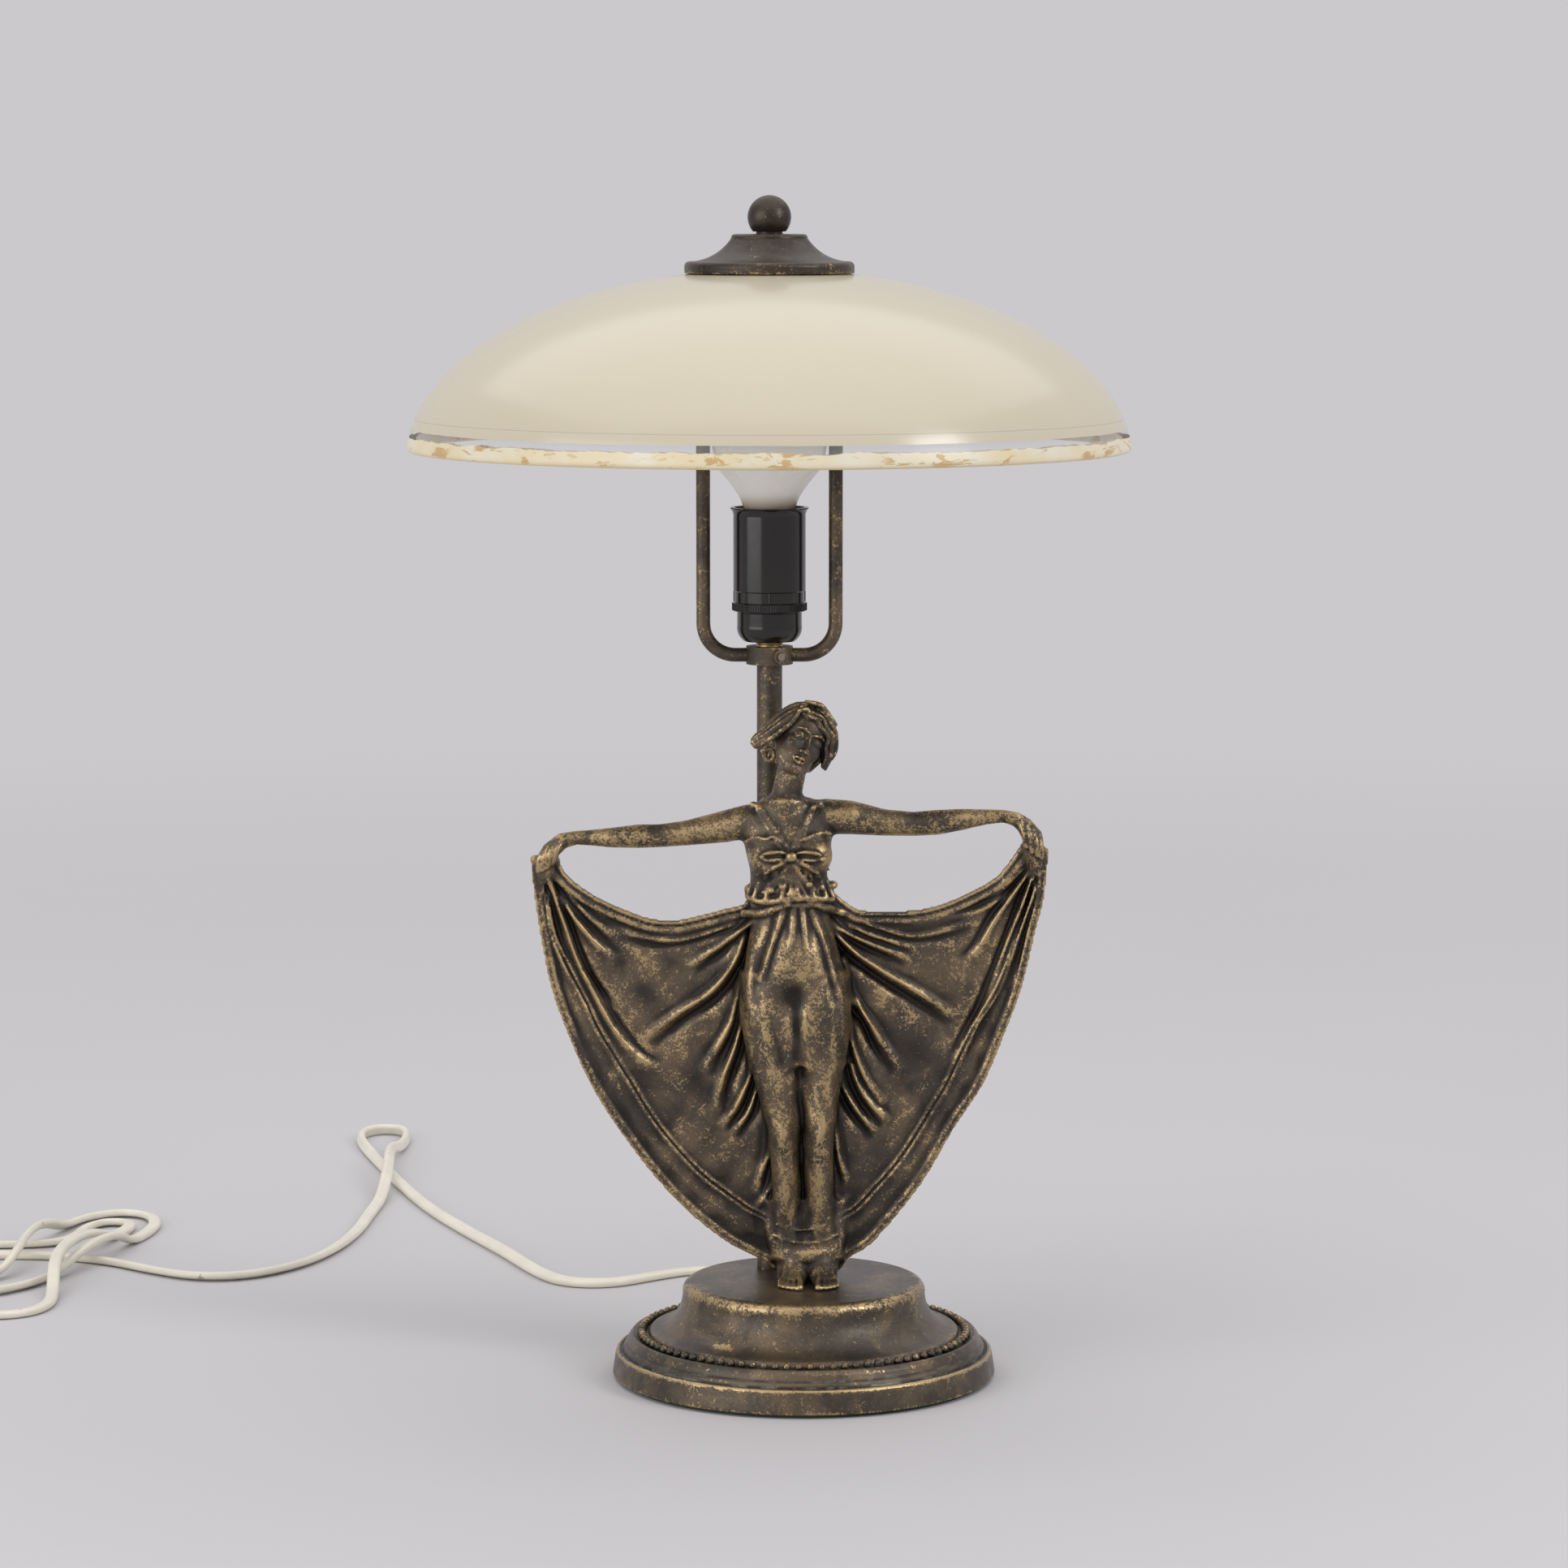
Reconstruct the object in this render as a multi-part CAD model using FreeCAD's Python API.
"""Figural table lamp: a dancer in bronze before a stem, under a domed glass shade.

Millimetres, +Z up. The origin is on the table, on the axis of the stem and the shade. The figure faces -Y.
The base and the figure share a second upright axis, a little to the right of the stem and in front of it.
"""

import FreeCAD, Part

import math
import os

V = FreeCAD.Vector

# ---- driving dimensions -------------------------------------------------------------------------
FELT = 1.0                    # thickness of the felt pad, which the foot stands on

BASE_X, BASE_Y = 13.5, -22.0  # axis of the base and the figure
FOOT_R = 75.4
PLATEAU_R = 44.0              # flat top of the base, inside its rounded edge
PLATEAU_Z = 38.0
EDGE_R = 3.8                  # rounding of the plateau's edge
CASTING_WALL = 4.5
CEILING_Z = PLATEAU_Z - CASTING_WALL

STEM_R = 5.0                  # M10 x 1 tube
STEM_BORE_R = 3.75
STEM_LOW_Z, STEM_TOP_Z = 24.0, 297.5

RING_LOW_Z, RING_TOP_Z = 280.0, 287.0
RING_R = 9.2
ROD_R = 2.75                  # harp rods
HARP_HALF = 26.0              # stem axis to a rod's upright run
HARP_BEND_R = 12.5
HARP_LOW_Z, HARP_TOP_Z = 283.5, 422.0
SADDLE_R, SADDLE_H = 8.0, 7.0

HOLDER_LOW_Z, HOLDER_TOP_Z = 289.0, 341.6   # small screw holder for an E14 bulb
HOLDER_R = 14.25

BULB_R, BULB_Z = 22.5, 367.0  # ball of the bulb
BULB_CAP_TOP_Z = 337.0        # top of its threaded brass cap

SHADE_R, SHADE_RISE = 142.0, 74.5           # half axes of the glass dome's ellipse
SHADE_Z = 360.0                             # height of the ellipse's centre
SHADE_RIM_Z = 363.2
GLASS = 3.0
SHADE_HOLE_R = 12.0

CAP_R, CAP_LOW_Z, CAP_TOP_Z = 33.2, 432.9, 448.0
CAP_WALL = 1.2

STUD_R = 3.0                  # M6 stud that carries the shade
STUD_LOW_Z, STUD_TOP_Z = 413.5, 457.5
FINIAL_R, FINIAL_Z = 8.5, 454.6
WASHER_T = 1.0

CORD_D = 5.4                  # width of the flat twin cord
CORD_Z = CORD_D / 2 + 0.05    # its middle where it lies on the table
HUMP_Z = 9.2                  # its middle where it passes over another strand
EXIT_Z = 6.2                  # height of the hole in the base's skirt
RELIEF_L = 20.0               # tapered relief behind the skirt
RELIEF_Y = BASE_Y + 75.5      # where it starts
RELIEF_R, RELIEF_SHANK = 3.8, 10.0          # its shank through the wall, up to the flange inside
RUNNING = 0.05                # radial clearance between a screw or shaft and its hole

SWITCH_X, SWITCH_Y = -385.0, 78.0
SWITCH_L, SWITCH_W, SWITCH_H = 62.0, 27.0, 19.0
ROCKER_TILT = 10.0            # degrees either side of level

COIL_X, COIL_Y = -385.0, 20.0
COIL_IN_R = 28.5              # innermost turn
COIL_PITCH = 6.1              # between turns, and between layers
COIL_TURNS = 2.0
PLUG_X, PLUG_Y = -423.0, -34.0
PLUG_Z = 6.9

os.makedirs("parts", exist_ok=True)


def keep(name, shape):
    """Write one node's solids."""
    shape.exportStep(f"parts/{name}.step")
    print(f"{name:20s} solids {len(shape.Solids)} volume {shape.Volume:11.1f} valid {shape.isValid()}")


# ---- plain shapes -------------------------------------------------------------------------------
def line(a, b):
    return Part.LineSegment(a, b).toShape()


def arc(a, middle, b):
    return Part.Arc(a, middle, b).toShape()


def turned(points, x=0.0, y=0.0):
    """Solid of revolution about an upright axis, from a closed outline of (radius, height).

    A triple (radius, height, "arc") is the middle of an arc between its two neighbours.
    """
    edges = []
    count = len(points)
    i = 0
    while i < count:
        here = points[i]
        after = points[(i + 1) % count]
        start = V(here[0], 0, here[1])
        if len(after) == 3:
            end = points[(i + 2) % count]
            edges.append(arc(start, V(after[0], 0, after[1]), V(end[0], 0, end[1])))
            i += 2
        else:
            edges.append(line(start, V(after[0], 0, after[1])))
            i += 1
    face = Part.Face(Part.Wire(Part.__sortEdges__(edges)))
    solid = face.revolve(V(0, 0, 0), V(0, 0, 1), 360)
    solid.translate(V(x, y, 0))
    return solid


def disc(radius, low, top, x=0.0, y=0.0, hole=0.0):
    solid = Part.makeCylinder(radius, top - low, V(x, y, low))
    if hole:
        solid = solid.cut(Part.makeCylinder(hole, top - low + 2, V(x, y, low - 1)))
    return solid


def hex_nut(across, low, top, hole, x=0.0, y=0.0):
    corner = across / math.sqrt(3)
    ring = [V(x + corner * math.cos(math.radians(a)), y + corner * math.sin(math.radians(a)), low)
            for a in range(0, 361, 60)]
    body = Part.Face(Part.makePolygon(ring)).extrude(V(0, 0, top - low))
    return body.cut(Part.makeCylinder(hole, top - low + 2, V(x, y, low - 1)))


def ellipsoid(centre, radii, tilt=0.0, lean=0.0):
    """Egg with half axes radii, turned by tilt degrees about Y and lean degrees about X."""
    matrix = FreeCAD.Matrix()
    matrix.scale(V(*radii))
    matrix.rotateY(math.radians(tilt))
    matrix.rotateX(math.radians(lean))
    matrix.move(V(*centre))
    return Part.makeSphere(1.0).transformGeometry(matrix)


def rounded_path(points, share=0.45, most=None):
    """Straight runs joined by tangent arcs, as a wire, with its tightest radius and its length.

    An arc's radius is share of the shorter run divided by the tangent of half the turn, or most if less.
    """
    edges = []
    tightest = 1e9
    start = points[0]
    for i in range(1, len(points) - 1):
        before = points[i] - points[i - 1]
        after = points[i + 1] - points[i]
        turn = before.getAngle(after)
        if turn < 1e-4:
            continue
        reach = share * min(before.Length, after.Length)
        radius = reach / math.tan(turn / 2)
        if most and radius > most:
            radius = most
            reach = most * math.tan(turn / 2)
        tightest = min(tightest, radius)
        u = V(before).normalize()
        w = V(after).normalize()
        first = points[i] - u * reach
        last = points[i] + w * reach
        inward = (w - u).normalize()
        middle = points[i] + inward * (radius / math.cos(turn / 2) - radius)
        edges.append(line(start, first))
        edges.append(arc(first, middle, last))
        start = last
    edges.append(line(start, points[-1]))
    wire = Part.Wire(edges)
    return wire, tightest, wire.Length


def tube(points, radius, share=0.45, most=None, name=""):
    wire, tightest, length = rounded_path(points, share, most)
    ahead = points[1] - points[0]
    ring = Part.Wire(Part.makeCircle(radius, points[0], ahead))
    pipe = Part.BRepOffsetAPI.MakePipeShell(wire)
    pipe.add(ring)
    pipe.build()
    pipe.makeSolid()
    solid = Part.Solid(pipe.shape())
    ideal = math.pi * radius ** 2 * length
    if name:
        share = solid.Volume / ideal
        print(f"{name}: length {length:.0f} tightest arc {tightest:.1f} volume/ideal {share:.4f}")
    return solid


# ---- base ---------------------------------------------------------------------------------------
def base_casting():
    """Hollow spun foot: skirt, groove, step, beaded ring, cove and plateau."""
    outline = [
        (0.0, PLATEAU_Z), (PLATEAU_R, PLATEAU_Z),
        (PLATEAU_R + EDGE_R * 0.71, PLATEAU_Z - EDGE_R * 0.29, "arc"),
        (PLATEAU_R + EDGE_R, PLATEAU_Z - EDGE_R),
        (50.6, 24.6, "arc"), (59.6, 18.9), (60.8, 18.6), (61.0, 17.2),
        (64.1, 19.4, "arc"), (67.2, 17.2), (68.0, 16.8), (69.2, 15.4), (69.6, 13.4),
        (70.4, 12.9), (71.2, 12.2), (71.5, 10.7), (72.1, 10.7), (72.6, 11.2),
        (73.6, 10.8, "arc"), (74.2, 9.8), (FOOT_R, 1.6), (FOOT_R, FELT),
        (69.4, FELT), (69.4, FELT + 1.0), (67.6, FELT + 1.0), (67.6, 8.6), (64.0, 12.4), (56.5, 14.2),
        (46.5, 20.5), (43.0, 30.0), (42.0, CEILING_Z), (0.0, CEILING_Z),
    ]
    solid = turned(outline, BASE_X, BASE_Y)
    for x, y in cover_screw_places():
        solid = solid.fuse(disc(4.2, FELT + 1.0, 14.5, x, y))
        solid = solid.cut(disc(1.5 + RUNNING, 0, 11.5, x, y))
    boss_x, boss_y = clip_screw_place()
    solid = solid.fuse(disc(3.6, 10.4, 18.0, boss_x, boss_y))
    solid = solid.cut(disc(1.5 + RUNNING, 0, 15.4, boss_x, boss_y))
    solid = solid.cut(disc(STEM_R + RUNNING, CEILING_Z - 5, PLATEAU_Z + 5))
    for x, y in figure_screw_places():
        solid = solid.cut(disc(2.0 + RUNNING, CEILING_Z - 5, PLATEAU_Z + 5, x, y))
    rear_hole = Part.makeCylinder(RELIEF_R + RUNNING, 20, V(BASE_X, BASE_Y + FOOT_R - 14, EXIT_Z), V(0, 1, 0))
    return solid.cut(rear_hole)


def cover_screw_places():
    return [(BASE_X + 61.5 * math.cos(math.radians(a)), BASE_Y + 61.5 * math.sin(math.radians(a)))
            for a in (30, 150, 270)]


def clip_screw_place():
    return BASE_X + 7.4, BASE_Y + 56.0


def figure_screw_places():
    return [(BASE_X - 4.4, BASE_Y + 3.0), (BASE_X + 8.0, BASE_Y + 3.0)]


def bottom_plate():
    plate = disc(69.2, FELT, FELT + 1.0, BASE_X, BASE_Y)
    for x, y in cover_screw_places():
        plate = plate.cut(Part.makeCone(2.9, 1.6, 1.0, V(x, y, FELT)))
    return plate


def cover_screws():
    return Part.makeCompound([
        Part.makeCone(2.8, 1.5, 1.0, V(x, y, FELT)).fuse(disc(1.5, FELT + 1.0, FELT + 9.0, x, y))
        for x, y in cover_screw_places()])


def pan_screw(x, y, low, shoulder, top, shank=1.5, head=2.8):
    return disc(head, low, shoulder, x, y).fuse(disc(shank, shoulder, top, x, y))


def make_base():
    keep("felt_pad", disc(72.5, 0, FELT, BASE_X, BASE_Y))
    keep("base_casting", base_casting())
    keep("bottom_plate", bottom_plate())
    keep("cover_screws", cover_screws())

    bore_r = CORD_D / 2 + RUNNING
    back = V(0, 1, 0)
    flange_y = RELIEF_Y - RELIEF_SHANK
    relief = Part.makeCylinder(RELIEF_R, RELIEF_SHANK, V(BASE_X, flange_y, EXIT_Z), back)
    relief = relief.fuse(Part.makeCone(4.6, 3.3, RELIEF_L, V(BASE_X, RELIEF_Y, EXIT_Z), back))
    relief = relief.fuse(Part.makeCylinder(RELIEF_R + 0.3, 1.2, V(BASE_X, flange_y - 1.2, EXIT_Z), back))
    relief = relief.cut(Part.makeCylinder(bore_r, 40, V(BASE_X, flange_y - 2, EXIT_Z), back))
    keep("cord_relief", relief)

    x, y = clip_screw_place()
    clip = Part.makeCylinder(CORD_D / 2 + 1.0, 7, V(BASE_X, y - 3.5, EXIT_Z), V(0, 1, 0))
    clip = clip.fuse(Part.makeBox(10.4, 7, 1.0, V(BASE_X, y - 3.5, 9.3)))
    clip = clip.cut(Part.makeCylinder(bore_r, 9, V(BASE_X, y - 4.5, EXIT_Z), V(0, 1, 0)))
    clip = clip.cut(disc(1.5 + RUNNING, 8, 12, x, y))
    keep("cord_clip", clip)
    keep("cord_clip_screw", pan_screw(x, y, 7.6, 9.3, 15.0, head=2.6))


# ---- stem ---------------------------------------------------------------------------------------
def make_stem():
    keep("stem_tube", disc(STEM_R, STEM_LOW_Z, STEM_TOP_Z, hole=STEM_BORE_R))
    washer_z = CEILING_Z - 1.2
    keep("stem_washer", disc(9.0, washer_z, CEILING_Z, hole=STEM_R + RUNNING))
    keep("stem_nuts", Part.makeCompound([
        hex_nut(15.0, top - 3.0, top, STEM_R + RUNNING) for top in (washer_z, washer_z - 3.1)]))


# ---- figure -------------------------------------------------------------------------------------
# Places on the figure are (x, y) from the base's axis and heights above the table.
CLOTH_FRONT, CLOTH_BACK = 2.0, 9.0
FIGURE_Z = PLATEAU_Z

HEM_LEFT = [(-105.5, 205.0), (-102.6, 179.6), (-97.8, 154.5), (-82.1, 115.3), (-58.0, 80.1),
            (-28.9, 53.4), (-11.6, 44.0)]
HEM_RIGHT = [(14.0, 43.5), (26.8, 54.1), (44.6, 75.9), (69.4, 116.7), (84.5, 155.8), (91.6, 183.9),
             (94.3, 208.0)]
SWAG_RIGHT = [(94.3, 208.0), (91.0, 214.0), (86.5, 210.5), (81.4, 201.7), (66.8, 190.5), (44.9, 182.8),
              (25.0, 182.5), (12.0, 189.0)]
SWAG_LEFT = [(-20.0, 188.0), (-31.1, 183.1), (-50.1, 178.9), (-70.4, 182.8), (-91.0, 194.3),
             (-97.4, 205.0), (-101.5, 211.0), (-105.5, 205.0)]

# Upright body under the cloth: height, middle x, middle y, half width, half depth.
TORSO = [(102, -0.5, -3.6, 10.0, 5.0), (114, -1.2, -3.6, 14.0, 8.0), (126, -2.0, -3.4, 18.0, 11.2),
         (138, -2.5, -3.0, 20.5, 13.5), (150, -3.0, -3.0, 21.2, 14.0), (162, -3.8, -2.8, 20.0, 13.8),
         (174, -4.7, -2.5, 17.4, 12.6), (185, -5.2, -2.0, 15.0, 10.5), (193, -5.6, -2.0, 16.8, 11.5),
         (201, -6.0, -2.0, 15.6, 11.2), (209, -6.3, -2.5, 17.2, 12.6), (217, -6.5, -2.0, 18.0, 11.0),
         (224, -6.8, -1.2, 14.4, 8.6), (230, -7.0, -1.0, 7.4, 6.4)]
LEG_LEFT = [(43, -4.4, -1.0, 5.4, 6.0), (60, -4.6, -1.5, 7.2, 7.5), (85, -6.4, -3.0, 9.6, 10.0),
            (100, -7.2, -4.5, 9.2, 10.5), (125, -9.8, -4.5, 11.0, 12.0), (146, -11.4, -3.5, 12.0, 12.5)]
LEG_RIGHT = [(43, 8.0, -1.0, 5.4, 6.0), (60, 7.6, -1.5, 7.2, 7.5), (85, 7.2, -3.0, 9.6, 10.0),
             (100, 7.2, -4.5, 9.2, 10.5), (125, 7.2, -4.5, 11.0, 12.0), (146, 6.2, -3.5, 11.6, 12.5)]

# Arms: x, middle height, radius.
ARM_LEFT = [(-14.0, 220.5, 6.4), (-31.0, 218.4, 6.0), (-45.5, 215.6, 4.9), (-56.0, 214.6, 4.5),
            (-65.0, 214.3, 4.7), (-82.0, 213.9, 3.3), (-91.5, 213.6, 2.5), (-100.5, 208.0, 3.6)]
ARM_RIGHT = [(1.0, 221.6, 6.8), (16.0, 221.8, 6.6), (31.0, 220.0, 5.2), (43.0, 219.2, 4.6),
             (55.0, 220.2, 4.9), (69.0, 221.8, 3.2), (79.0, 222.0, 2.5), (90.0, 214.0, 3.8)]
ARM_Y = 0.0


def cloth_edge(points):
    curve = Part.BSplineCurve()
    curve.interpolate([V(x, 0, z) for x, z in points])
    return curve.toShape()


def cloth():
    """The skirt held out to both sides, as a plate with the outline of its hems and top edges."""
    edges = [cloth_edge(HEM_LEFT), line(V(-11.6, 0, 44.0), V(14.0, 0, 43.5)), cloth_edge(HEM_RIGHT),
             cloth_edge(SWAG_RIGHT), line(V(12.0, 0, 189.0), V(-20.0, 0, 188.0)), cloth_edge(SWAG_LEFT)]
    plate = Part.Face(Part.Wire(Part.__sortEdges__(edges))).extrude(V(0, CLOTH_BACK - CLOTH_FRONT, 0))
    plate.translate(V(0, CLOTH_FRONT, 0))
    return plate


def ellipse_ring(x, y, z, half_width, half_depth):
    side, back = V(x + half_width, y, z), V(x, y + half_depth, z)
    ends = (side, back) if half_width >= half_depth else (back, side)
    return Part.Wire(Part.Ellipse(*ends, V(x, y, z)).toShape())


def stacked(rings):
    wires = [ellipse_ring(x, y, z, w, d) for z, x, y, w, d in rings]
    return Part.makeLoft(wires, True, False, False, 3)


def arm(stations):
    return Part.makeLoft([Part.Wire(Part.makeCircle(r, V(x, ARM_Y, z), V(1, 0, 0)))
                          for x, z, r in stations], True, False)


def foot(x):
    whole = ellipsoid((x, -10.0, FIGURE_Z + 0.8), (5.4, 13.8, 6.6))
    return whole.common(Part.makeBox(40, 60, 30, V(x - 20, -40, FIGURE_Z)))


def head():
    """Skull, face and bobbed hair, the head tipped to the figure's left and back."""
    skull = ellipsoid((1.0, -1.0, 254.6), (9.6, 11.5, 12.6), tilt=12)
    hair = ellipsoid((0.0, 1.5, 257.4), (13.0, 12.0, 10.6), tilt=12)
    lock_left = ellipsoid((-12.8, -2.5, 252.2), (8.2, 5.0, 4.6), tilt=-38)
    lock_right = ellipsoid((10.2, 0.0, 249.8), (4.0, 6.5, 8.6), tilt=-14)
    neck = Part.makeCone(6.2, 5.4, 20.0, V(-7.2, -1.0, 227.0), V(0.16, -0.02, 1))
    return [skull, hair, lock_left, lock_right, neck]


def figure():
    parts = [stacked(TORSO), stacked(LEG_LEFT), stacked(LEG_RIGHT), arm(ARM_LEFT), arm(ARM_RIGHT),
             foot(-4.4), foot(8.0), Part.makeBox(21.0, 10.5, 10.0, V(-8.6, -1.6, FIGURE_Z)), *head()]
    solid = cloth()
    for piece in parts:
        solid = solid.fuse(piece)
    solid.translate(V(BASE_X, BASE_Y, 0))
    for x, y in figure_screw_places():
        solid = solid.cut(disc(2.0 + RUNNING, FIGURE_Z - 1, FIGURE_Z + 8, x, y))
    return solid


def make_figure():
    keep("figure", figure())
    keep("figure_screws", Part.makeCompound([
        pan_screw(x, y, CEILING_Z - 3.4, CEILING_Z - 1.0, FIGURE_Z + 7, shank=2.0, head=3.6)
        for x, y in figure_screw_places()]))
    keep("figure_washers", Part.makeCompound([
        disc(4.4, CEILING_Z - 1.0, CEILING_Z, x, y, hole=2.0 + RUNNING) for x, y in figure_screw_places()]))


# ---- harp ---------------------------------------------------------------------------------------
def harp_rod(side):
    """One bent rod, from the clamp ring up and in to the saddle. side is -1 or 1."""
    corners = [V(side * (RING_R - 2.0), 0, HARP_LOW_Z), V(side * HARP_HALF, 0, HARP_LOW_Z),
               V(side * HARP_HALF, 0, HARP_TOP_Z), V(side * (SADDLE_R - 2.0), 0, HARP_TOP_Z)]
    return tube(corners, ROD_R, share=0.9, most=HARP_BEND_R)


def sockets(solid, reach, height):
    for side in (-1, 1):
        hole = Part.makeCylinder(ROD_R + RUNNING, 10, V(side * reach, 0, height), V(side, 0, 0))
        solid = solid.cut(hole)
    return solid


def make_harp():
    ring = disc(RING_R, RING_LOW_Z, RING_TOP_Z, hole=STEM_R + RUNNING)
    toward = V(0.42, -0.91, 0).normalize()
    boss = Part.makeCylinder(2.8, 3.6, toward * (RING_R - 2.2) + V(0, 0, HARP_LOW_Z), toward)
    screw_hole = Part.makeCylinder(1.5 + RUNNING, 12, V(0, 0, HARP_LOW_Z) + toward * 3, toward)
    ring = sockets(ring.fuse(boss), RING_R - 2.0, HARP_LOW_Z).cut(screw_hole)
    keep("harp_clamp_ring", ring)
    grub = Part.makeCylinder(1.5, 6.2, V(0, 0, HARP_LOW_Z) + toward * (STEM_R + 0.05), toward)
    keep("harp_set_screw", grub)
    keep("harp_left_rod", harp_rod(-1))
    keep("harp_right_rod", harp_rod(1))
    low = HARP_TOP_Z - SADDLE_H / 2
    saddle = sockets(disc(SADDLE_R, low, low + SADDLE_H, hole=STUD_R + RUNNING), SADDLE_R - 2.0, HARP_TOP_Z)
    keep("harp_saddle", saddle)
    plate_z = low + SADDLE_H
    keep("shade_support", disc(28.0, plate_z, plate_z + 1.5, hole=STUD_R + RUNNING))
    keep("support_gasket", turned([(14.0, plate_z + 1.5), (27.5, plate_z + 1.5),
                                   (27.5, inner_glass_z(27.5) - 0.35), (14.0, inner_glass_z(27.5) - 0.35)]))
    keep("shade_stud", disc(STUD_R, STUD_LOW_Z, STUD_TOP_Z))
    keep("stud_nuts", Part.makeCompound([
        hex_nut(10.0, low - 4.0, low, STUD_R + RUNNING),
        hex_nut(10.0, plate_z + 1.5, plate_z + 5.0, STUD_R + RUNNING)]))


# ---- bulb holder and bulb -----------------------------------------------------------------------
INSERT_LOW_Z, INSERT_TOP_Z = 306.0, 313.5


def make_holder():
    knurl_low, knurl_top = 301.0, 304.4
    cap = turned([
        (STEM_R + RUNNING, HOLDER_LOW_Z), (10.0, HOLDER_LOW_Z), (12.2, 291.6, "arc"), (12.75, 295.4),
        (12.75, 300.4), (13.3, 300.6), (14.2, knurl_low), (14.45, knurl_low + 0.4), (14.45, knurl_top - 0.3),
        (14.1, knurl_top), (12.1, knurl_top), (12.1, INSERT_LOW_Z), (10.6, INSERT_LOW_Z), (10.6, 298.5),
        (STEM_R + RUNNING, 298.5)])
    keep("holder_cap", cap)
    shell = turned([
        (12.2, knurl_top + 0.1), (13.85, knurl_top + 0.1), (13.85, 308.6), (HOLDER_R, 309.0),
        (HOLDER_R, HOLDER_TOP_Z - 3.6), (14.6, HOLDER_TOP_Z - 1.6, "arc"), (15.5, HOLDER_TOP_Z - 0.4),
        (15.3, HOLDER_TOP_Z), (14.0, HOLDER_TOP_Z), (12.3, HOLDER_TOP_Z - 2.4), (12.2, HOLDER_TOP_Z - 3.2)])
    keep("holder_shell", shell)
    insert = disc(11.9, INSERT_LOW_Z, INSERT_TOP_Z)
    for side in (-1, 1):
        insert = insert.cut(disc(1.3 + RUNNING, INSERT_LOW_Z - 1, INSERT_LOW_Z + 5, side * 6.5))
    keep("holder_insert", insert)
    keep("holder_sleeve", disc(7.7, INSERT_TOP_Z, INSERT_TOP_Z + 20.5, hole=7.08))
    contact = Part.makeBox(9.0, 3.6, 0.5, V(-4.5, -1.8, INSERT_TOP_Z))
    keep("centre_contact", contact.fuse(disc(1.4, INSERT_TOP_Z + 0.4, INSERT_TOP_Z + 0.8)))
    keep("terminal_screws", Part.makeCompound([
        pan_screw(side * 6.5, 0, INSERT_LOW_Z - 1.8, INSERT_LOW_Z, INSERT_LOW_Z + 4, shank=1.3, head=2.4)
        for side in (-1, 1)]))


def ball_and_neck(inset, low_z):
    """Outer form of the bulb's glass, drawn in by inset all round and starting at low_z."""
    neck_r, neck_z = 10.2 - inset, 341.6 + inset / 2
    wrist_r, wrist_z = 11.9 - inset, 345.8 + inset / 2
    shoulder_r, shoulder_z = 19.1 - inset, BULB_Z - 11.6 + inset / 4    # a little inside the ball
    stalk_r = 6.4 - inset
    lower = turned([
        (0.0, low_z), (stalk_r, low_z), (stalk_r, BULB_CAP_TOP_Z + 0.3 + inset / 2), (neck_r, neck_z),
        (wrist_r, wrist_z), (shoulder_r, shoulder_z), (shoulder_r - 0.4, shoulder_z + 1.6),
        (0.0, shoulder_z + 1.6)])
    return lower.fuse(Part.makeSphere(BULB_R - inset, V(0, 0, BULB_Z)))


def make_bulb():
    keep("bulb_glass", ball_and_neck(0.0, 331.0).cut(ball_and_neck(0.8, 330.0)))
    keep("bulb_cap", turned([
        (3.0, 318.2), (5.6, 318.2), (6.95, 319.8), (6.95, BULB_CAP_TOP_Z), (6.5, BULB_CAP_TOP_Z),
        (6.5, 320.1), (3.0, 319.0)]))
    keep("bulb_insulator", turned([(1.5, 315.6), (3.4, 315.6), (5.4, 318.2), (1.5, 318.2)]))
    keep("bulb_contact", disc(1.45, 314.8, 317.6).fuse(disc(2.4, 314.8, 315.6)))
    keep("bulb_mount", turned([(0.0, 321.0), (2.6, 321.0), (2.6, 336.0), (1.3, 346.0), (1.3, 356.0),
                               (0.0, 356.0)]))
    span = 9.0
    top = BULB_Z - 2.0
    wire = [V(-1.8, 0, 349.0), V(-span, 0, top), V(0, 0, top + 1.5), V(span, 0, top), V(1.8, 0, 349.0)]
    keep("filament", tube(wire, 0.25, most=1.5))


# ---- shade, cap and finial ----------------------------------------------------------------------
def outer_glass_z(r):
    return SHADE_Z + SHADE_RISE * math.sqrt(1 - (r / SHADE_R) ** 2)


def inner_glass_z(r):
    return SHADE_Z + (SHADE_RISE - GLASS) * math.sqrt(1 - (r / (SHADE_R - GLASS)) ** 2)


def ellipse_arc(half_width, half_height, inner_r, low_z):
    """Quarter of an ellipse in the XZ plane, from radius inner_r down to height low_z."""
    ellipse = Part.Ellipse(V(half_width, 0, SHADE_Z), V(0, 0, SHADE_Z + half_height), V(0, 0, SHADE_Z))
    low = math.asin((low_z - SHADE_Z) / half_height)
    high = math.acos(inner_r / half_width)
    return Part.ArcOfEllipse(ellipse, low, high).toShape()


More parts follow.
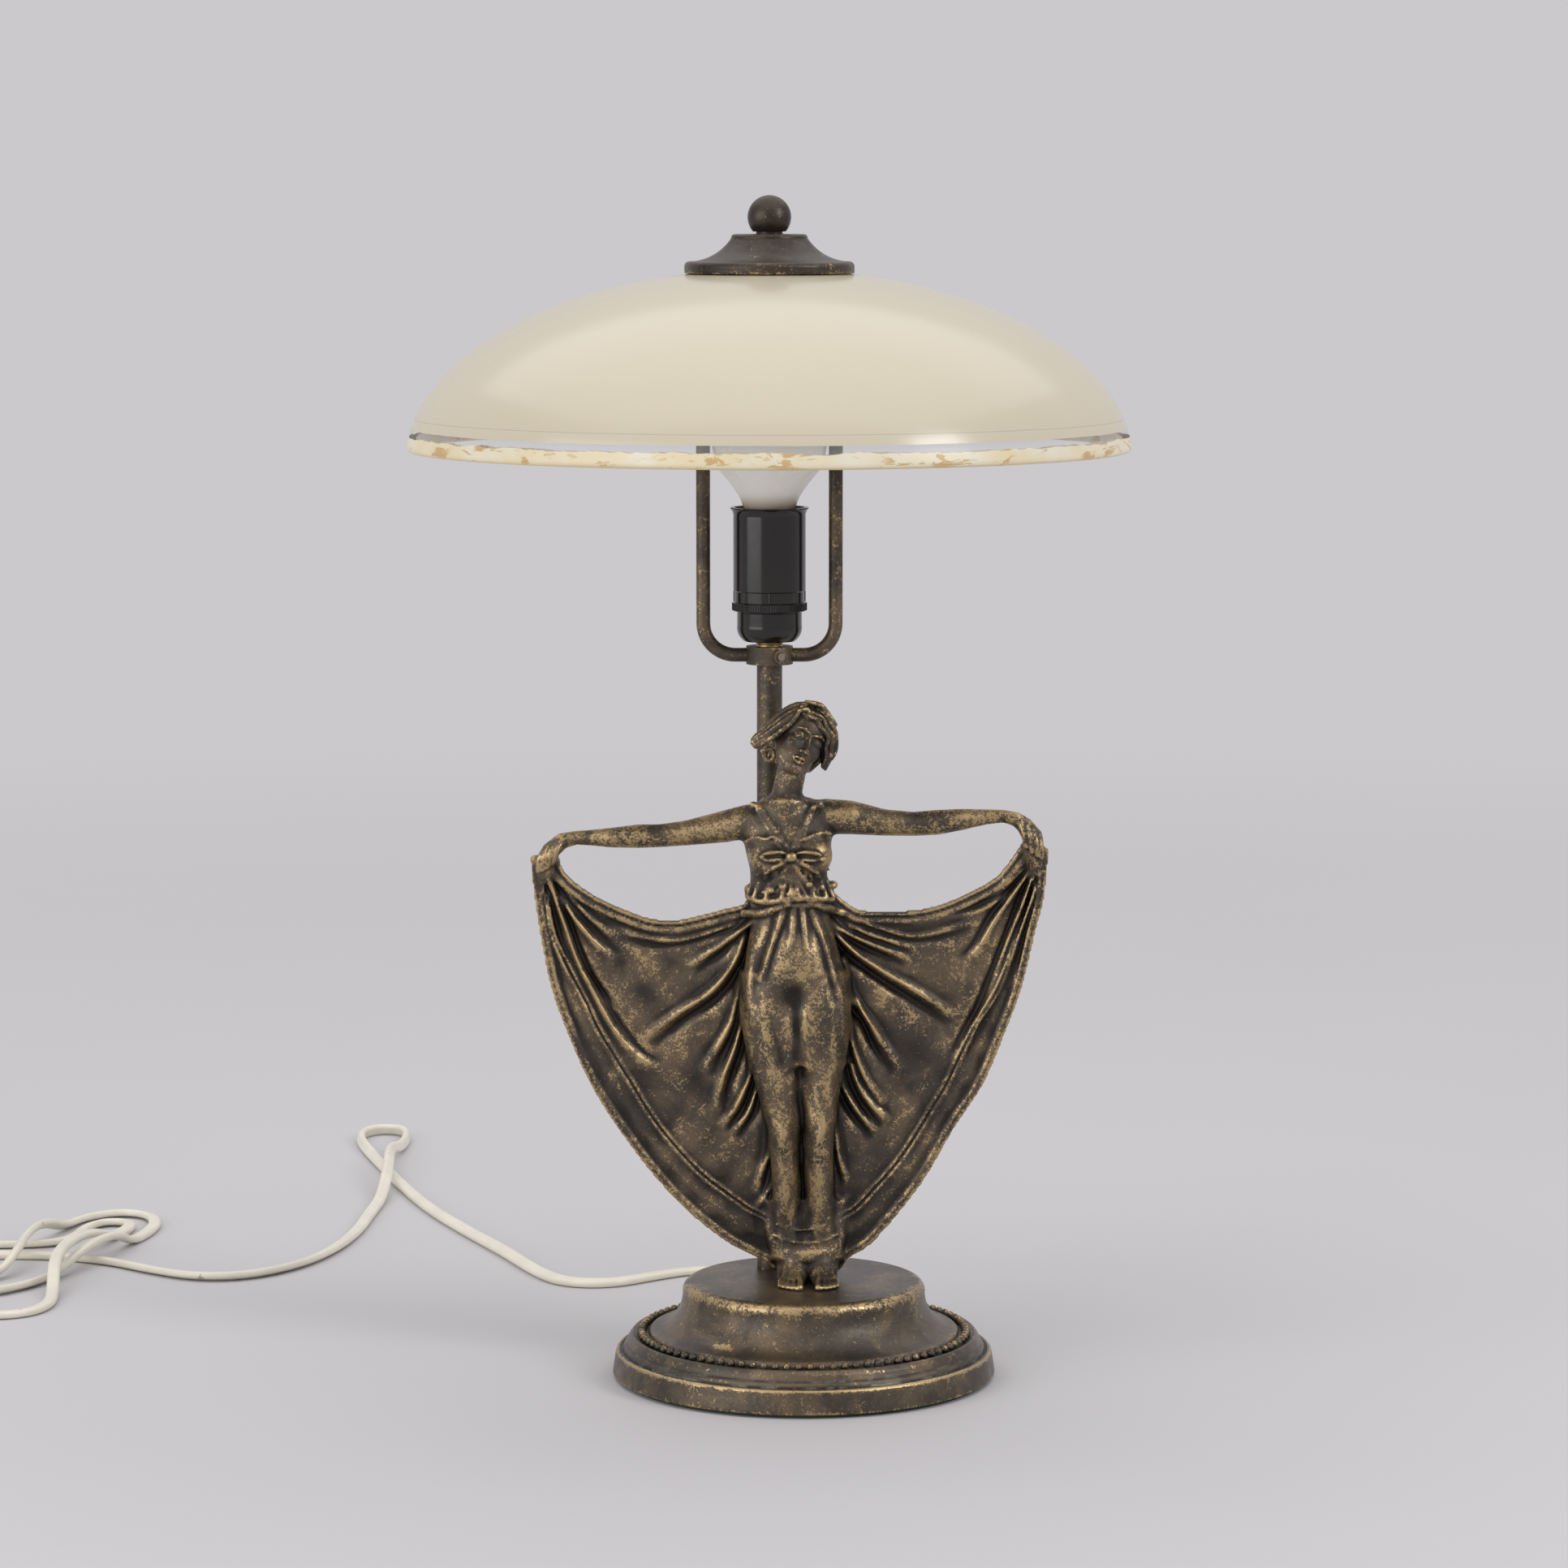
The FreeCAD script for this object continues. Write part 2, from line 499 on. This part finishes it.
def make_shade():
    outer = ellipse_arc(SHADE_R, SHADE_RISE, SHADE_HOLE_R, SHADE_RIM_Z)
    inner = ellipse_arc(SHADE_R - GLASS, SHADE_RISE - GLASS, SHADE_HOLE_R, SHADE_RIM_Z)
    rim_out = outer.valueAt(outer.FirstParameter)
    rim_in = inner.valueAt(inner.FirstParameter)
    lip = arc(rim_out, (rim_out + rim_in) * 0.5 - V(0, 0, 1.2), rim_in)
    mouth = line(outer.valueAt(outer.LastParameter), inner.valueAt(inner.LastParameter))
    face = Part.Face(Part.Wire(Part.__sortEdges__([outer, lip, inner, mouth])))
    keep("shade_glass", face.revolve(V(0, 0, 0), V(0, 0, 1), 360))

    top = CAP_TOP_Z
    cap = turned([
        (STUD_R + 0.4, top), (13.4, top), (14.5, top - 0.4, "arc"), (14.9, top - 1.5),
        (20.4, 440.9, "arc"), (31.0, 437.4), (32.7, 436.8, "arc"), (CAP_R, 435.4), (CAP_R, CAP_LOW_Z),
        (CAP_R - CAP_WALL, CAP_LOW_Z), (CAP_R - CAP_WALL, 435.2), (30.7, 436.0), (19.7, 439.7, "arc"),
        (13.7, top - 2.2), (13.2, top - CAP_WALL), (STUD_R + 0.4, top - CAP_WALL)])
    keep("cap", cap)
    keep("cap_gasket", turned([(27.0, outer_glass_z(27.0) + 0.35), (30.6, outer_glass_z(27.0) + 0.35),
                               (30.6, 435.8), (27.0, 435.8)]))
    washer_top = top + WASHER_T
    keep("finial_washer", disc(5.2, top, washer_top, hole=STUD_R + 0.4))
    ball = Part.makeSphere(FINIAL_R, V(0, 0, FINIAL_Z))
    ball = ball.cut(Part.makeBox(30, 30, 20, V(-15, -15, washer_top - 20)))
    keep("finial", ball.cut(disc(STUD_R + RUNNING, washer_top - 1, STUD_TOP_Z + 1.0)))


# ---- cord, switch and plug ----------------------------------------------------------------------
F, H = CORD_Z, HUMP_Z
OVER = 11.6                   # over a strand that is itself coming down from a hump
RUN_IN = 9.2                  # height at which the cord enters and leaves the switch

# Route of the free cord from the relief to the switch, behind the lamp and then to its left.
LAMP_CORD = [
    (BASE_X, RELIEF_Y + RELIEF_L, EXIT_Z), (BASE_X, 92.0, 4.4), (12.0, 116.0, F), (5.0, 140.0, F),
    (-10.0, 159.0, F),
    (-32.0, 163.0, F), (-50.0, 150.0, F), (-68.0, 134.0, F), (-88.0, 136.0, F), (-101.0, 157.0, F),
    (-116.0, 196.0, F), (-136.0, 241.0, F), (-155.0, 288.0, F), (-170.0, 336.0, F), (-182.0, 380.0, F),
    (-192.0, 416.0, F), (-200.0, 447.0, F), (-203.0, 470.0, F), (-196.0, 484.0, F), (-183.0, 482.0, F),
    (-179.0, 466.0, F), (-180.0, 438.0, F), (-183.0, 402.0, H), (-180.0, 358.0, H), (-180.0, 316.0, F),
    (-183.0, 280.0, F), (-185.0, 246.0, F), (-191.0, 208.0, F), (-203.0, 173.0, F), (-223.0, 149.0, F),
    (-246.0, 146.0, F), (-267.0, 161.0, F), (-286.0, 179.0, F), (-308.0, 190.0, F), (-332.0, 193.0, F),
    (-357.0, 190.0, F), (-373.0, 173.0, F), (-370.0, 150.0, F), (-350.0, 139.0, F), (-331.0, 147.0, F),
    (-326.0, 170.0, H), (-327.0, 200.0, H), (-324.0, 227.0, H), (-318.0, 250.0, F), (-312.0, 270.0, F),
    (-298.0, 284.0, F), (-283.0, 279.0, F), (-277.0, 260.0, F), (-279.0, 238.0, F), (-284.0, 220.0, F),
    (-289.0, 202.0, H), (-297.0, 177.0, H), (-307.0, 152.0, F), (-318.0, 127.0, F), (-336.0, 111.0, F),
    (-360.0, 107.0, F), (-380.0, 121.0, F), (-389.0, 146.0, F), (-390.0, 174.0, F), (-381.0, 201.0, F),
    (-360.0, 215.0, F), (-335.0, 214.0, F), (-315.0, 218.0, F), (-309.0, 234.0, F), (-308.0, 250.0, F),
    (-301.0, 263.0, F), (-289.0, 261.0, F), (-288.0, 247.0, F), (-293.0, 230.0, F), (-299.0, 207.0, H),
    (-305.0, 175.0, OVER), (-306.0, 140.0, OVER), (-303.0, 114.0, F), (-302.0, 94.0, F),
    (-308.0, 79.0, F), (-322.0, 73.0, F), (-336.0, 76.0, 4.6), (-348.0, SWITCH_Y, RUN_IN),
    (-361.0, SWITCH_Y, RUN_IN)]


def coil_points():
    """Two turns in two layers: in, up a layer, and out again at the same pitch."""
    steps = 12
    half = COIL_TURNS / 2
    points = []
    for i in range(int(COIL_TURNS * steps) + 1):
        turns = i / steps
        radius = COIL_IN_R - COIL_PITCH / 4 + COIL_PITCH * abs(turns - half)
        climb = min(max((turns - half) * 2 + 0.5, 0.0), 1.0)
        angle = math.pi + 2 * math.pi * turns
        points.append(V(COIL_X + radius * math.cos(angle), COIL_Y + radius * math.sin(angle),
                        CORD_Z + COIL_PITCH * climb))
    return points


def least_gap(points, diameter, along):
    """Nearest that a path comes to itself, centre to centre less its diameter, past a stretch of along."""
    fine = []
    walked = [0.0]
    for a, b in zip(points, points[1:]):
        for k in range(8):
            fine.append(a + (b - a) * (k / 8))
    for a, b in zip(fine, fine[1:]):
        walked.append(walked[-1] + (b - a).Length)
    return min((fine[i] - fine[j]).Length for i in range(len(fine)) for j in range(i)
               if walked[i] - walked[j] > along) - diameter


def switch_shell(low, top, inset):
    half_l, half_w = SWITCH_L / 2, SWITCH_W / 2
    block = Part.makeBox(SWITCH_L, SWITCH_W, top - low, V(SWITCH_X - half_l, SWITCH_Y - half_w, low))
    upright = [e for e in block.Edges if abs(e.tangentAt(0).z) > 0.9]
    block = block.makeFillet(8.0, upright)
    side = low if inset < 0 else top
    rim = [e for e in block.Edges if abs(e.CenterOfMass.z - side) < 0.01]
    return block.makeFillet(abs(inset), rim)


def make_switch():
    seam = 9.2
    wall = 2.0
    room = Part.makeBox(SWITCH_L - 16, SWITCH_W - 2 * wall, SWITCH_H - 2 * wall,
                        V(SWITCH_X - SWITCH_L / 2 + 8, SWITCH_Y - SWITCH_W / 2 + wall, wall))
    bore = Part.makeCylinder(CORD_D / 2 + RUNNING, SWITCH_L + 4,
                             V(SWITCH_X - SWITCH_L / 2 - 2, SWITCH_Y, RUN_IN), V(1, 0, 0))
    lower = switch_shell(0.0, seam, -1.5)
    upper = switch_shell(seam, SWITCH_H, 3.0)
    window = Part.makeBox(22.0, 12.0, 10.0, V(SWITCH_X - 11.0, SWITCH_Y - 6.0, SWITCH_H - wall - 2))
    places = [(SWITCH_X - 21.0, SWITCH_Y + 9.0), (SWITCH_X + 21.0, SWITCH_Y - 9.0)]
    lower = lower.cut(room).cut(bore)
    upper = upper.cut(room).cut(bore).cut(window)
    for x, y in places:
        post = disc(2.6, 1.0, SWITCH_H - 3.0, x, y)
        lower = lower.fuse(post.common(Part.makeBox(200, 200, seam, V(x - 100, y - 100, 0))))
        upper = upper.fuse(post.common(Part.makeBox(200, 200, 20, V(x - 100, y - 100, seam))))
        hole = disc(1.25 + RUNNING, -1, 14.0, x, y)
        lower = lower.cut(hole).cut(disc(2.3 + RUNNING, -1, 2.6, x, y))
        upper = upper.cut(hole)
    keep("switch_lower_half", lower)
    keep("switch_upper_half", upper)
    keep("switch_screws", Part.makeCompound([
        pan_screw(x, y, 0.8, 2.6, 13.6, shank=1.25, head=2.3) for x, y in places]))

    pivot_z = SWITCH_H - 4.0
    outline = [V(-9.8, 0, 4.6), V(0, 0, 3.4), V(9.8, 0, 4.6),
               V(9.2, 0, -1.0), V(0, 0, -4.2), V(-9.2, 0, -1.0)]
    face = Part.Face(Part.makePolygon([*outline, outline[0]]))
    rocker = face.extrude(V(0, 11.2, 0))
    rocker.translate(V(0, -5.6, 0))
    rocker = rocker.cut(Part.makeCylinder(1.0 + RUNNING, 20, V(0, -10, 0), V(0, 1, 0)))
    rocker.rotate(V(0, 0, 0), V(0, 1, 0), ROCKER_TILT)
    rocker.translate(V(SWITCH_X, SWITCH_Y, pivot_z))
    keep("switch_rocker", rocker)
    pivot_end = V(SWITCH_X, SWITCH_Y - SWITCH_W / 2 + wall, pivot_z)
    keep("switch_pivot", Part.makeCylinder(1.0, SWITCH_W - 2 * wall, pivot_end, V(0, 1, 0)))
    keep("switch_contacts", Part.makeCompound([
        Part.makeBox(7.0, 4.0, 3.0, V(SWITCH_X + dx - 3.5, SWITCH_Y - 2.0, wall)) for dx in (-9.0, 9.0)]))


def plug_body():
    """Flat two-pin plug with a moulded tapered relief, pins pointing to -Y."""
    def ring(y, half_width, half_height):
        wire = Part.Wire(Part.__sortEdges__(rounded_corners(half_width, half_height)))
        wire.rotate(V(0, 0, 0), V(1, 0, 0), 90)
        wire.translate(V(PLUG_X, PLUG_Y + y, PLUG_Z))
        return wire
    body = Part.makeLoft([ring(-35.0, 12.8, 6.8), ring(-22.0, 12.8, 6.8), ring(-12.0, 10.6, 6.6),
                          ring(0.0, 6.0, 5.0)], True, True)
    relief = Part.makeCone(4.4, 3.2, 18.0, V(PLUG_X, PLUG_Y - 1.0, PLUG_Z), V(0, 1, 0))
    body = body.fuse(relief)
    bore = Part.makeCylinder(CORD_D / 2 + RUNNING, 14.0, V(PLUG_X, PLUG_Y + 4.0, PLUG_Z), V(0, 1, 0))
    return body.cut(bore)


def rounded_corners(half_width, half_height, radius=2.2):
    w, h, r = half_width, half_height, radius
    k = r * (1 - math.sqrt(0.5))
    return [
        line(V(-w + r, -h, 0), V(w - r, -h, 0)), arc(V(w - r, -h, 0), V(w - k, -h + k, 0), V(w, -h + r, 0)),
        line(V(w, -h + r, 0), V(w, h - r, 0)), arc(V(w, h - r, 0), V(w - k, h - k, 0), V(w - r, h, 0)),
        line(V(w - r, h, 0), V(-w + r, h, 0)), arc(V(-w + r, h, 0), V(-w + k, h - k, 0), V(-w, h - r, 0)),
        line(V(-w, h - r, 0), V(-w, -h + r, 0)),
        arc(V(-w, -h + r, 0), V(-w + k, -h + k, 0), V(-w + r, -h, 0))]


def make_cords():
    radius = CORD_D / 2
    inner = [V(0, 0, 303.0), V(0, 0, 17.0), V(5.0, 10.0, EXIT_Z), V(BASE_X, 22.0, EXIT_Z),
             V(BASE_X, RELIEF_Y + RELIEF_L, EXIT_Z)]
    keep("inner_cord", tube(inner, radius, name="inner_cord"))
    keep("cord_cores", Part.makeCompound([
        Part.makeCylinder(0.9, 2.6, V(side * 1.5, 0, 303.9), V(side, 0, 0)) for side in (-1, 1)]))
    route = [V(*p) for p in LAMP_CORD]
    keep("lamp_cord", tube(route, radius, name="lamp_cord"))
    print("lamp_cord least gap", round(least_gap(route, CORD_D, 30), 2))

    coil = coil_points()
    print("cord_coil least gap", round(least_gap(coil, CORD_D, 60), 2))
    keep("cord_coil", tube(coil, radius, name="cord_coil"))
    start = V(SWITCH_X - SWITCH_L / 2 + 7, SWITCH_Y, RUN_IN)
    first, last = coil[0], coil[-1]
    way_in = (coil[1] - first).normalize()
    way_out = (last - coil[-2]).normalize()
    lead = [start, start + V(-14, 0, 0), start + V(-26, -8, -4.5), V(-430.0, 52.0, CORD_Z),
            first - way_in * 16, first]
    keep("coil_lead", tube(lead, radius, name="coil_lead"))
    tail = [last, last + way_out * 16, V(PLUG_X, PLUG_Y + 24, PLUG_Z), V(PLUG_X, PLUG_Y + 4.0, PLUG_Z)]
    keep("coil_tail", tube(tail, radius, name="coil_tail"))

    keep("plug_body", plug_body())
    keep("plug_pins", Part.makeCompound([
        Part.makeCylinder(2.0, 19.0, V(PLUG_X + side * 9.3, PLUG_Y - 35.0, PLUG_Z), V(0, -1, 0))
        for side in (-1, 1)]))


make_base()
make_stem()
make_figure()
make_harp()
make_holder()
make_bulb()
make_shade()
make_switch()
make_cords()
